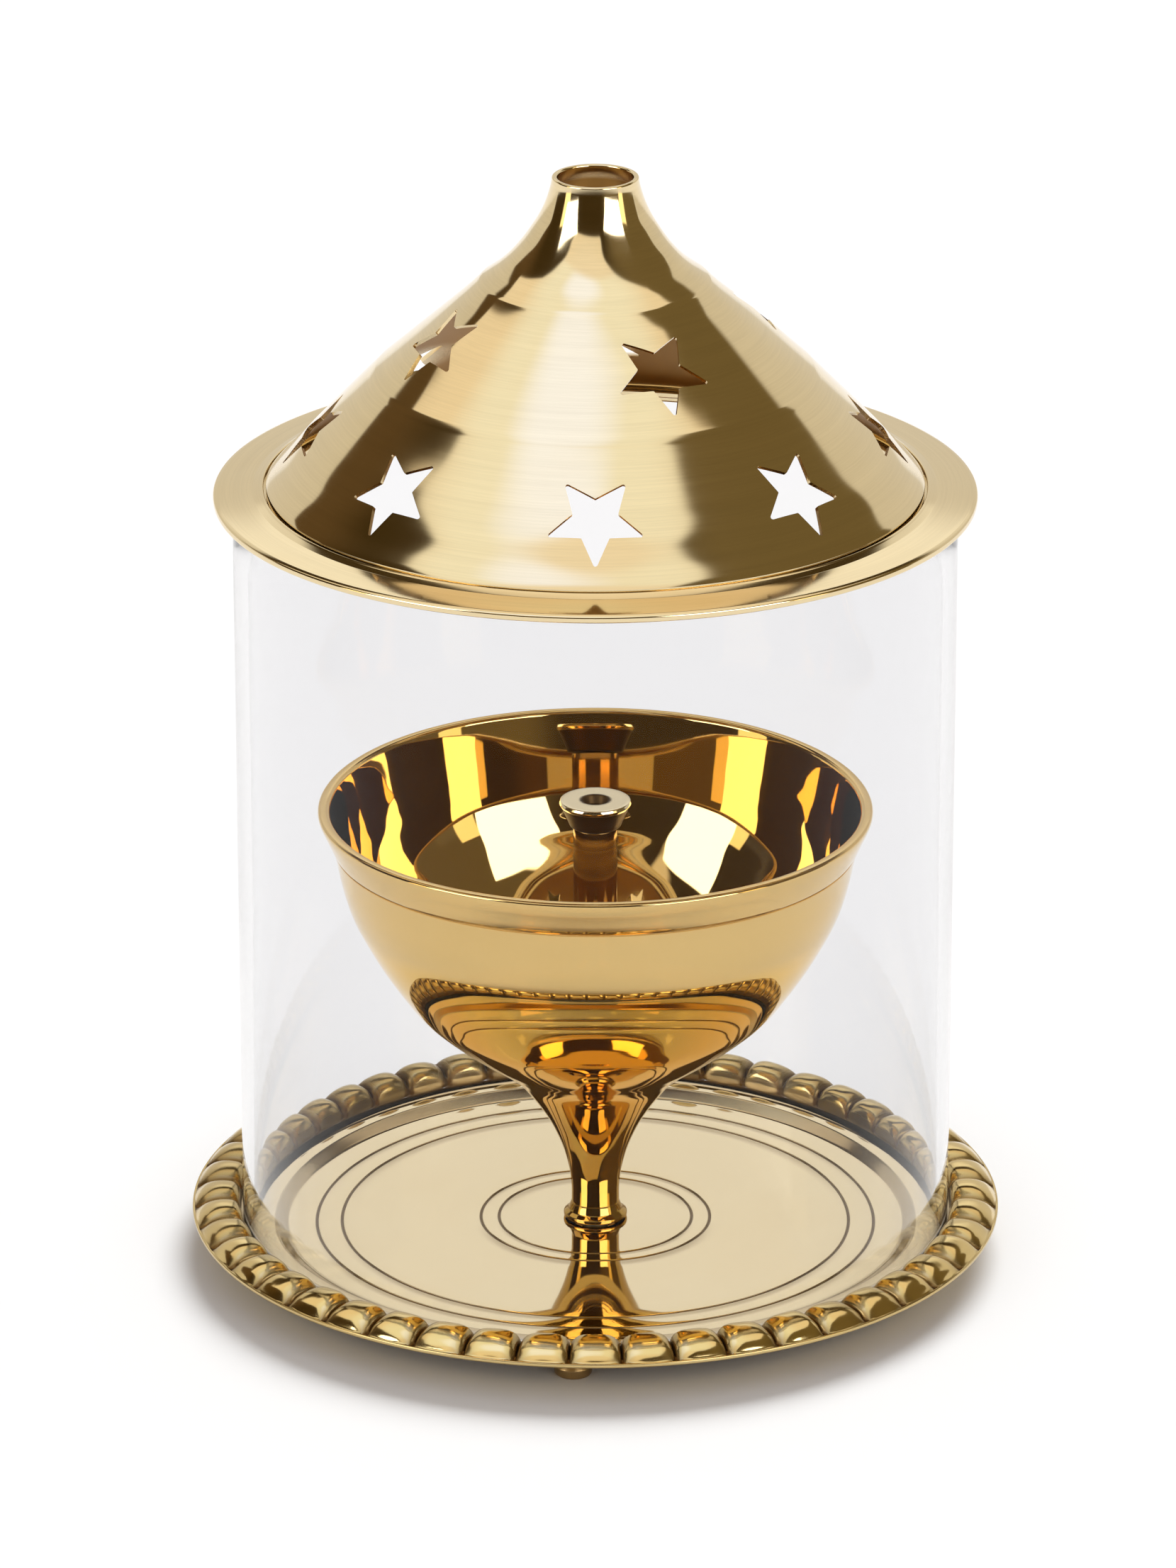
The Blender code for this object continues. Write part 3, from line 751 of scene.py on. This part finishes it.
def rim_sections():
    """Crest and valley of the gadroons from the inside outward, and the plain lip and underside."""
    crest = sample_curve([
        (RIM_INNER, 5.55), (RIM_INNER, 7.0), (57.5, 8.1), (58.3, 8.92), (59.8, 9.2), (61.6, 9.02),
        (63.2, 8.3), (64.2, 7.4), (64.65, 6.72),
    ], RIM_ROWS)
    valley = sample_curve([
        (RIM_INNER, 5.55), (57.27, 6.0), (57.5, 6.45), (58.4, 6.75), (59.8, 6.9), (61.4, 6.88),
        (62.8, 6.75), (63.9, 6.6), (64.55, 6.52),
    ], RIM_ROWS)
    under = rounded_path([
        (64.7, 6.66, 0.0), (TRAY_RADIUS, 6.62, 0.15), (TRAY_RADIUS, 6.0, 0.25), (63.2, 5.6, 0.8),
        (60.5, 5.0, 0.8), (57.55, CASTING_UNDER, 0.3), (RIM_INNER, CASTING_UNDER, 0.0),
    ], 0.12)
    return crest, valley, under


def swing(section, angle):
    """A (radius, height) section turned to an angle, or each of its points to its own angle."""
    radius, height = np.asarray(section, float).T
    return np.stack([radius * np.cos(angle), radius * np.sin(angle), height], 1)


def make_rim():
    """The gadrooned rim: softly flattened lobes, no two alike, between dark gaps above a plain lip.

    The lobes are flattest at the front. The gaps carry patina, with painted shade added between the lobes at
    the back and the left, on the inner wall and on the underside.
    """
    crest, valley, under = rim_sections()
    along = np.linspace(0.0, 1.0, RIM_ROWS)
    end = np.clip(1.0 - np.minimum(along / 0.34, (1.0 - along) / 0.22), 0.0, 1.0)
    # Painted shade on the inner wall beside the glass.
    inner_wall_shade = np.clip((0.20 - along) / 0.05, 0.0, 0.8)
    rng = random.Random(11)
    pitch = TURN / GADROONS
    columns, shades = [], []
    for lobe in range(GADROONS):
        shift = rng.uniform(-0.045, 0.045)
        tall = rng.uniform(0.92, 1.0)
        lean = rng.uniform(-0.05, 0.05)
        dip = rng.uniform(-0.10, 0.10)
        back_and_left = (0.5 - 0.5 * math.cos(pitch * lobe)) * (0.7 - 0.3 * math.sin(pitch * lobe))
        flatness = 3.3 - 1.5 * back_and_left - 0.9 * end
        for k in range(GADROON_STEPS):
            even = 2.0 * k / GADROON_STEPS - 1.0
            t = 0.65 * even + 0.35 * math.sin(math.pi * even / 2.0)
            reach = np.clip(abs(t) * (1.0 + 0.10 * end), 0.0, 1.0)
            lift = np.sqrt(1.0 - reach ** flatness) * (tall + dip * t * (1.0 - reach ** 2))
            place = valley + (crest - valley) * lift[:, None]
            core = 1.0 - t * t
            base = FRONT + pitch * (lobe + t / 2.0 + core * shift)
            angle = base + pitch * core * lean * (along - 0.5)
            columns.append(np.vstack([swing(place, angle), swing(under, base)]))
            # Patina in the valleys, plus painted shade that deepens toward the back and the left.
            patina_and_shade = np.clip(1.22 + 0.50 * back_and_left - lift * 1.35, 0.0, 1.0)
            # The underside gets painted shade at 0.25.
            shades.append(np.concatenate([np.maximum(patina_and_shade, inner_wall_shade), np.full(len(under), 0.25)]))
    points = np.array(columns).transpose(1, 0, 2).reshape(-1, 3)
    faces = ring_faces(RIM_ROWS + len(under), len(columns), True)
    piece = mesh_object("tray_rim", points, faces, "base", ("base_plate",), 60.0)
    mark(piece, np.array(shades).T.reshape(-1))
    piece.data.materials.append(rim_metal)


def make_feet():
    """Three turned pegs under the tray."""
    for name in ("foot_front", "foot_right", "foot_left"):
        low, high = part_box(name)
        middle = (low + high) / 2.0 / MM
        top = high.z / MM
        path = rounded_path([
            (0.0, 0.0, 0.0), (2.95, 0.0, 0.5), (2.98, 1.5, 0.4), (2.35, top, 0.0), (0.0, top, 0.0),
        ], 0.08)
        peg = turned(
            "turned_" + name, path, 64, "base", name, (middle.x, middle.y), sharp=50.0
        )
        peg.data.materials.append(foot_shaded_metal)


make_tray_floor()
make_rim()
make_feet()

# ---------------------------------------------------------------- oil bowl

BOWL_SIDES = 320
STEM_RADIUS = 3.83
STEM_FOOT = FLOOR_TOP + GAP
SCREW_BORE = 2.3
BORE_TOP = 17.0
TRAY_REFLECTION_BELOW = 58.5
TRAY_REFLECTION_FADE = 3.0
STEM_SHADE_BELOW = 30.0
STEM_SHADE_FADE = 8.0


def bowl_path():
    """Foot, stem, bowl, lip and inside of the oil bowl, ending on the axis."""
    foot = rounded_path([
        (SCREW_BORE, STEM_FOOT, 0.0), (5.1, STEM_FOOT, 0.25), (5.1, 5.35, 0.35), (4.3, 5.9, 0.5),
        (STEM_RADIUS, 7.2, 1.2), (STEM_RADIUS, 9.4, 0.0),
    ], 0.08)
    outside = smooth_path([
        (STEM_RADIUS, 9.4), (4.05, 11.9), (4.6, 14.4), (5.3, 16.7), (6.25, 19.0), (7.4, 21.3), (8.9, 23.7),
        (10.8, 26.3), (13.0, 28.9), (16.3, 31.6), (20.4, 34.5), (24.5, 37.7), (28.6, 41.4), (31.6, 45.3),
        (34.4, 49.5), (37.05, 54.2), (38.9, 58.0), (40.0, 61.3), (40.75, 64.4), (41.3, 67.2), (41.65, 68.7),
    ], 0.7)
    lip = [
        (41.68, 68.86), (41.56, 68.93), (41.58, 69.03), (41.78, 69.12), (42.05, 69.6), (42.6, 70.9),
        (43.35, 72.6), (43.9, 73.8),
    ]
    edge = rounded_path([
        (43.9, 73.8, 0.0), (44.25, 75.1, 0.5), (42.3, 75.1, 0.8), (41.95, 73.6, 0.0),
    ], 0.06)
    inside = smooth_path([
        (41.95, 73.6), (41.3, 70.6), (40.55, 67.2), (39.9, 64.2), (39.1, 61.0), (37.8, 57.6), (35.8, 54.0),
        (33.1, 49.6), (30.2, 45.6), (27.1, 42.0), (23.4, 38.6), (19.4, 35.7), (15.4, 32.9), (12.4, 30.9),
        (10.0, 29.6), (7.5, 29.4), (4.0, 29.4), (0.0, 29.4),
    ], 0.7)
    return foot + outside[1:] + lip + edge[1:] + inside[1:]


def make_bowl():
    """The oil bowl: mirror polished, with a painted reflection of the tray in deeper gold below, painted
    shade on its stem, lined under its lip.
    """
    path = bowl_path()
    points, faces = lathe(path, BOWL_SIDES, closed=False)
    start = len(points)
    drilled = [(0.0, BORE_TOP), (SCREW_BORE, BORE_TOP - 1.2), (SCREW_BORE, STEM_FOOT)]
    bore, bore_faces = lathe(drilled, BOWL_SIDES, closed=False)
    points = np.vstack([points, bore])
    faces += [tuple(i + start for i in face) for face in bore_faces]
    piece = mesh_object("oil_bowl", points, faces, "base", ("bowl",), 40.0)
    rows_outside = int(np.argmax([height for radius, height in path]))
    outside = np.arange(len(points)) < rows_outside * BOWL_SIDES
    height = points[:, 2]
    # Deeper gold below the lip: a painted reflection of the brass tray.
    mark(piece, outside * np.clip((TRAY_REFLECTION_BELOW - height) / TRAY_REFLECTION_FADE, 0.0, 1.0))
    # Darker brown on the stem and low on the bowl: painted shade under the bowl.
    mark(piece, outside * np.clip((STEM_SHADE_BELOW - height) / STEM_SHADE_FADE, 0.0, 1.0), "stem")
    piece.data.materials.append(bowl_metal)


def finish_fasteners():
    """Steel and a fine edge on the washer and the screw, which stay as the frame has them."""
    for name in ("bowl_washer", "bowl_screw"):
        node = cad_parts[name]
        node.data.materials.clear()
        node.data.materials.append(steel)
        bevel = node.modifiers.new("edge", "BEVEL")
        bevel.width = 0.12 * MM
        bevel.segments = 2
        bevel.limit_method = "ANGLE"


make_bowl()
finish_fasteners()

# ---------------------------------------------------------------- wick holder

PORT_RADIUS = 1.1
PORT_LENGTH = 14.0
PORT_HEIGHT = 37.2
PORT_RISE = 3.4
TIP_TOP = 75.7


def make_wick_base():
    """Round foot with the collar that holds the tube."""
    path = rounded_path([
        (0.0, 29.7, 0.0), (9.0, 29.7, 0.4), (9.0, 31.7, 0.4), (5.0, 31.7, 0.6), (5.0, 34.2, 0.35),
        (3.8, 34.2, 0.2), (3.8, 30.9, 0.0), (0.0, 30.9, 0.0),
    ], 0.08)
    piece = turned("wick_base", path, 128, "wick_holder", "wick_foot", sharp=50.0)
    piece.data.materials.append(wick_metal)


def make_wick_pipe():
    """Upright tube with two crossed pairs of oil ports."""
    path = rounded_path([
        (2.7, 31.3, 0.0), (3.5, 31.3, 0.15), (3.5, 71.2, 0.12), (2.7, 71.2, 0.12), (2.7, 31.25, 0.0),
    ], 0.05)
    piece = turned("wick_pipe", refine(path, 1.5), 96, "wick_holder", "wick_tube", sharp=50.0)
    drills = []
    for index in range(2):
        bpy.ops.mesh.primitive_cylinder_add(vertices=40, radius=PORT_RADIUS * MM, depth=PORT_LENGTH * MM)
        drill = bpy.context.object
        drill.rotation_euler = (math.pi / 2.0, 0.0, index * math.pi / 2.0)
        drill.location = (0.0, 0.0, (PORT_HEIGHT + index * PORT_RISE) * MM)
        drills.append(drill)
    keep_cut(piece, drills, 50.0)
    piece.data.materials.clear()
    piece.data.materials.append(wick_metal)


def make_wick_tip():
    """Tapered nozzle with a flat top left bright, and painted shade below the top and in its bore."""
    path = rounded_path([
        (1.5, 66.6, 0.0), (2.3, 66.6, 0.25), (2.3, 71.5, 0.1), (4.1, 71.5, 0.15), (4.3, 72.1, 0.3),
        (5.4, 74.6, 0.8), (5.78, 75.2, 0.2), (5.55, TIP_TOP, 0.2), (2.2, TIP_TOP, 0.2), (1.5, 74.5, 0.3),
        (1.5, 66.65, 0.0),
    ], 0.05)
    piece = turned("wick_tip", refine(path, 0.5), 128, "nozzle", "wick_nozzle", sharp=50.0)
    points = coordinates(piece)
    radius = np.hypot(points[:, 0], points[:, 1])
    # Painted shade in the bore and on all of the nozzle below its flat top.
    mark(piece, (radius < 2.35) | (points[:, 2] < TIP_TOP - 1.0))
    piece.data.materials.append(tip_metal)


make_wick_base()
make_wick_pipe()
make_wick_tip()

# ---------------------------------------------------------------- glass

GLASS_RADIUS = 56.9
GLASS_WALL = 2.3
GLASS_TOP = 126.2
GLASS_EDGE = 0.9
GLASS_START = 60.0


def make_chimney():
    """The glass chimney, with fire-polished edges. Its section starts and ends on the outer wall."""
    outer, inner = GLASS_RADIUS, GLASS_RADIUS - GLASS_WALL
    low = LEDGE_TOP + GAP
    section = rounded_path([
        (outer, GLASS_START, 0.0), (outer, GLASS_TOP, GLASS_EDGE), (inner, GLASS_TOP, GLASS_EDGE),
        (inner, low, GLASS_EDGE), (outer, low, GLASS_EDGE), (outer, GLASS_START - 0.1, 0.0),
    ], 0.10)
    path = refine(section[:-1], 6.0)
    piece = turned("chimney_glass", path, 288, "chimney", "glass_chimney", sharp=60.0)
    piece.data.materials.append(glass)


make_chimney()

# ---------------------------------------------------------------- lid

BRIM_UNDER = GLASS_TOP + GAP
BRIM_RADIUS = 59.9
BRIM_LIP = 52.6
SEAT_RADIUS = 49.6
SEAT_TOP = 127.5
NECK_TOP = 178.6

# Each star is (degrees round the axis, radius, height, run of the cone for each millimetre it falls).
LOWER_STARS = [(-90.0 + 45.0 * k, 43.8, 137.3, 0.918) for k in range(8)]
UPPER_STARS = [(-67.5 + 90.0 * k, 26.3, 154.5, 1.12) for k in range(4)]
STAR_TIP = 8.1
STAR_VALLEY = 3.65
STAR_ROUND = 0.35
STAR_SWELL = 0.30
STAR_SWELL_REACH = 6.4

CONE_SIDES = 480
LEAN_OUT = 0.73
LEAN_UP = 0.68


def make_brim():
    """The brim ring with its rolled outer edge, the seat of the cone and a locating lip below."""
    section = rounded_path([
        (BRIM_LIP, 125.5, 0.0), (BRIM_LIP, 124.8, 0.3), (54.2, 124.8, 0.3), (54.2, BRIM_UNDER, 0.2),
        (BRIM_RADIUS, BRIM_UNDER, 0.35), (BRIM_RADIUS, 127.5, 0.4), (59.2, 127.72, 0.6), (53.7, 128.18, 0.8),
        (BRIM_LIP, 128.5, 0.5), (52.0, 128.75, 0.3), (51.95, SEAT_TOP, 0.0), (SEAT_RADIUS, SEAT_TOP, 0.2),
        (SEAT_RADIUS, BRIM_UNDER, 0.2), (BRIM_LIP, BRIM_UNDER, 0.2), (BRIM_LIP, 125.6, 0.0),
    ], 0.08)
    piece = turned("brim_ring", refine(section, 1.2), 384, "lid", "lid_brim", sharp=50.0)
    piece.data.materials.append(lid_metal)


def cone_sections():
    """Outer line of the cone from foot to neck in three tiers, its lip, and its inner line."""
    foot = [(51.55, 127.8), (51.6, 128.6), (51.55, 128.9)]
    first = smooth_path([
        (51.3, 129.2), (49.0, 131.6), (46.0, 134.92), (43.0, 138.05), (40.0, 141.18), (37.0, 144.32),
        (35.2, 146.2),
    ], 0.6)
    second = smooth_path([
        (34.2, 147.24), (30.7, 150.35), (26.2, 154.35), (21.6, 158.43), (20.0, 159.9), (18.6, 161.28),
        (18.1, 161.8),
    ], 0.6)
    third = smooth_path([
        (17.55, 162.24), (16.6, 162.92), (15.2, 164.0), (13.5, 165.6), (11.6, 167.85), (10.0, 170.2),
        (8.75, 172.3), (7.8, 174.4), (7.15, 176.4), (6.85, 177.6),
    ], 0.45)
    outside = foot + first + [(34.48, 147.0)] + second + [(17.88, 162.02)] + third
    lip = rounded_path([
        (6.85, 177.6, 0.0), (6.75, NECK_TOP, 0.3), (5.9, NECK_TOP, 0.3), (5.95, 177.4, 0.0),
    ], 0.06)
    inside = smooth_path([
        (5.95, 177.4), (6.25, 176.2), (6.95, 174.1), (7.95, 171.9), (9.2, 169.7), (10.8, 167.5),
        (12.75, 165.4), (15.0, 163.3), (17.2, 161.4), (21.4, 157.95), (25.8, 153.95), (30.05, 150.0),
        (33.9, 146.35), (39.4, 140.9), (43.7, 136.35), (47.95, 131.75), (50.0, 129.4), (50.7, 128.5),
    ], 0.8)
    return outside, lip, inside


def star_outline():
    """A five-pointed star as (along, side) points, with small rounds at its tips and valleys."""
    corners = []
    for corner in range(10):
        tip = corner % 2 == 0
        reach, fillet = (STAR_TIP, STAR_ROUND) if tip else (STAR_VALLEY, STAR_ROUND / 2.0)
        turn = math.pi * corner / 5.0
        corners.append((reach * math.cos(turn), reach * math.sin(turn), fillet))
    wrapped = [corners[-1], *corners, corners[0]]
    outline = []
    for i in range(1, len(wrapped) - 1):
        outline += rounded_path(wrapped[i - 1:i + 2], 0.12)[1:-1]
    return outline


def star_cutter(stars):
    """All star prisms in one mesh, each square to the cone with a point aimed down the slope."""
    shape = bmesh.new()
    outline = star_outline()
    for degrees, radius, height, slope in stars:
        angle = math.radians(degrees)
        down = math.hypot(slope, 1.0)
        fall = (slope / down, -1.0 / down)
        outward = (1.0 / down, slope / down)
        near, far = [], []
        for along, side in outline:
            for ring, depth in ((near, -5.0), (far, 5.0)):
                out = radius + along * fall[0] + depth * outward[0]
                up = height + along * fall[1] + depth * outward[1]
                ring.append(shape.verts.new((
                    (out * math.cos(angle) - side * math.sin(angle)) * MM,
                    (out * math.sin(angle) + side * math.cos(angle)) * MM,
                    up * MM,
                )))
        count = len(near)
        for k in range(count):
            m = (k + 1) % count
            shape.faces.new((near[k], near[m], far[m], far[k]))
        shape.faces.new(list(reversed(near)))
        shape.faces.new(far)
    bmesh.ops.recalc_face_normals(shape, faces=shape.faces)
    mesh = bpy.data.meshes.new("star_cutter")
    shape.to_mesh(mesh)
    shape.free()
    cutter = bpy.data.objects.new("star_cutter", mesh)
    bpy.context.scene.collection.objects.link(cutter)
    return cutter


def spinning_waver(angle, height):
    """How far hand spinning left each point off the true cone, in millimetres."""
    rng = random.Random(5)
    waver = np.zeros(len(angle))
    for turns, size in ((3, 0.015), (5, 0.012), (8, 0.008), (13, 0.005)):
        for climb in (0.08, 0.176, 0.304):
            phase = rng.uniform(0.0, TURN)
            sign = rng.choice((-1.0, 1.0))
            waver += size * np.sin(turns * angle + sign * climb * height + phase)
    return waver


def star_swell(points):
    """How far the punch left the metal standing out round each star, in millimetres."""
    swell = np.zeros(len(points))
    for degrees, radius, height, slope in LOWER_STARS + UPPER_STARS:
        angle = math.radians(degrees)
        centre = np.array((radius * math.cos(angle), radius * math.sin(angle), height))
        away = np.linalg.norm(points - centre, axis=1)
        swell += STAR_SWELL * np.exp(-((away / STAR_SWELL_REACH) ** 2))
    return swell


def shade_lining(piece, outside):
    """Mark the unpolished inner face of the cone."""
    points = coordinates(piece)
    curve = np.array(outside[::-1])
    top = np.interp(np.hypot(points[:, 0], points[:, 1]), curve[:, 0], curve[:, 1])
    mark(piece, np.clip((top - points[:, 2] - 0.6) / 0.3, 0.0, 1.0))


def make_cone():
    """The spun cone: three tiers, hand-spun unevenness, a slight swell round each star, and the stars."""
    outside, lip, inside = cone_sections()
    points, faces = lathe(outside + lip[1:] + inside[1:], CONE_SIDES)
    radius = np.hypot(points[:, 0], points[:, 1])
    height = points[:, 2]
    angle = np.arctan2(points[:, 1], points[:, 0])
    fade = np.clip((height - 129.5) / 4.0, 0.0, 1.0) * np.clip((177.0 - height) / 6.0, 0.0, 1.0)
    push = spinning_waver(angle, height) * fade + star_swell(points)
    points[:, :2] *= ((radius + push * LEAN_OUT) / radius)[:, None]
    points[:, 2] += push * LEAN_UP * fade
    piece = mesh_object("lid_shell", points, faces, "lid", ("lid_cone",), 40.0)
    keep_cut(piece, [star_cutter(LOWER_STARS + UPPER_STARS)], 26.0)
    shade_lining(piece, outside)
    piece.data.materials.clear()
    piece.data.materials.append(lid_metal)


make_brim()
make_cone()

# ---------------------------------------------------------------- finish


def soften_shadow():
    """Let only what lies low shade the floor, so that the shadow stays close round the tray."""
    for name in (
        "oil_bowl", "wick_base", "wick_pipe", "wick_tip", "chimney_glass", "brim_ring", "lid_shell",
    ):
        bpy.data.objects[name].visible_shadow = False


soften_shadow()
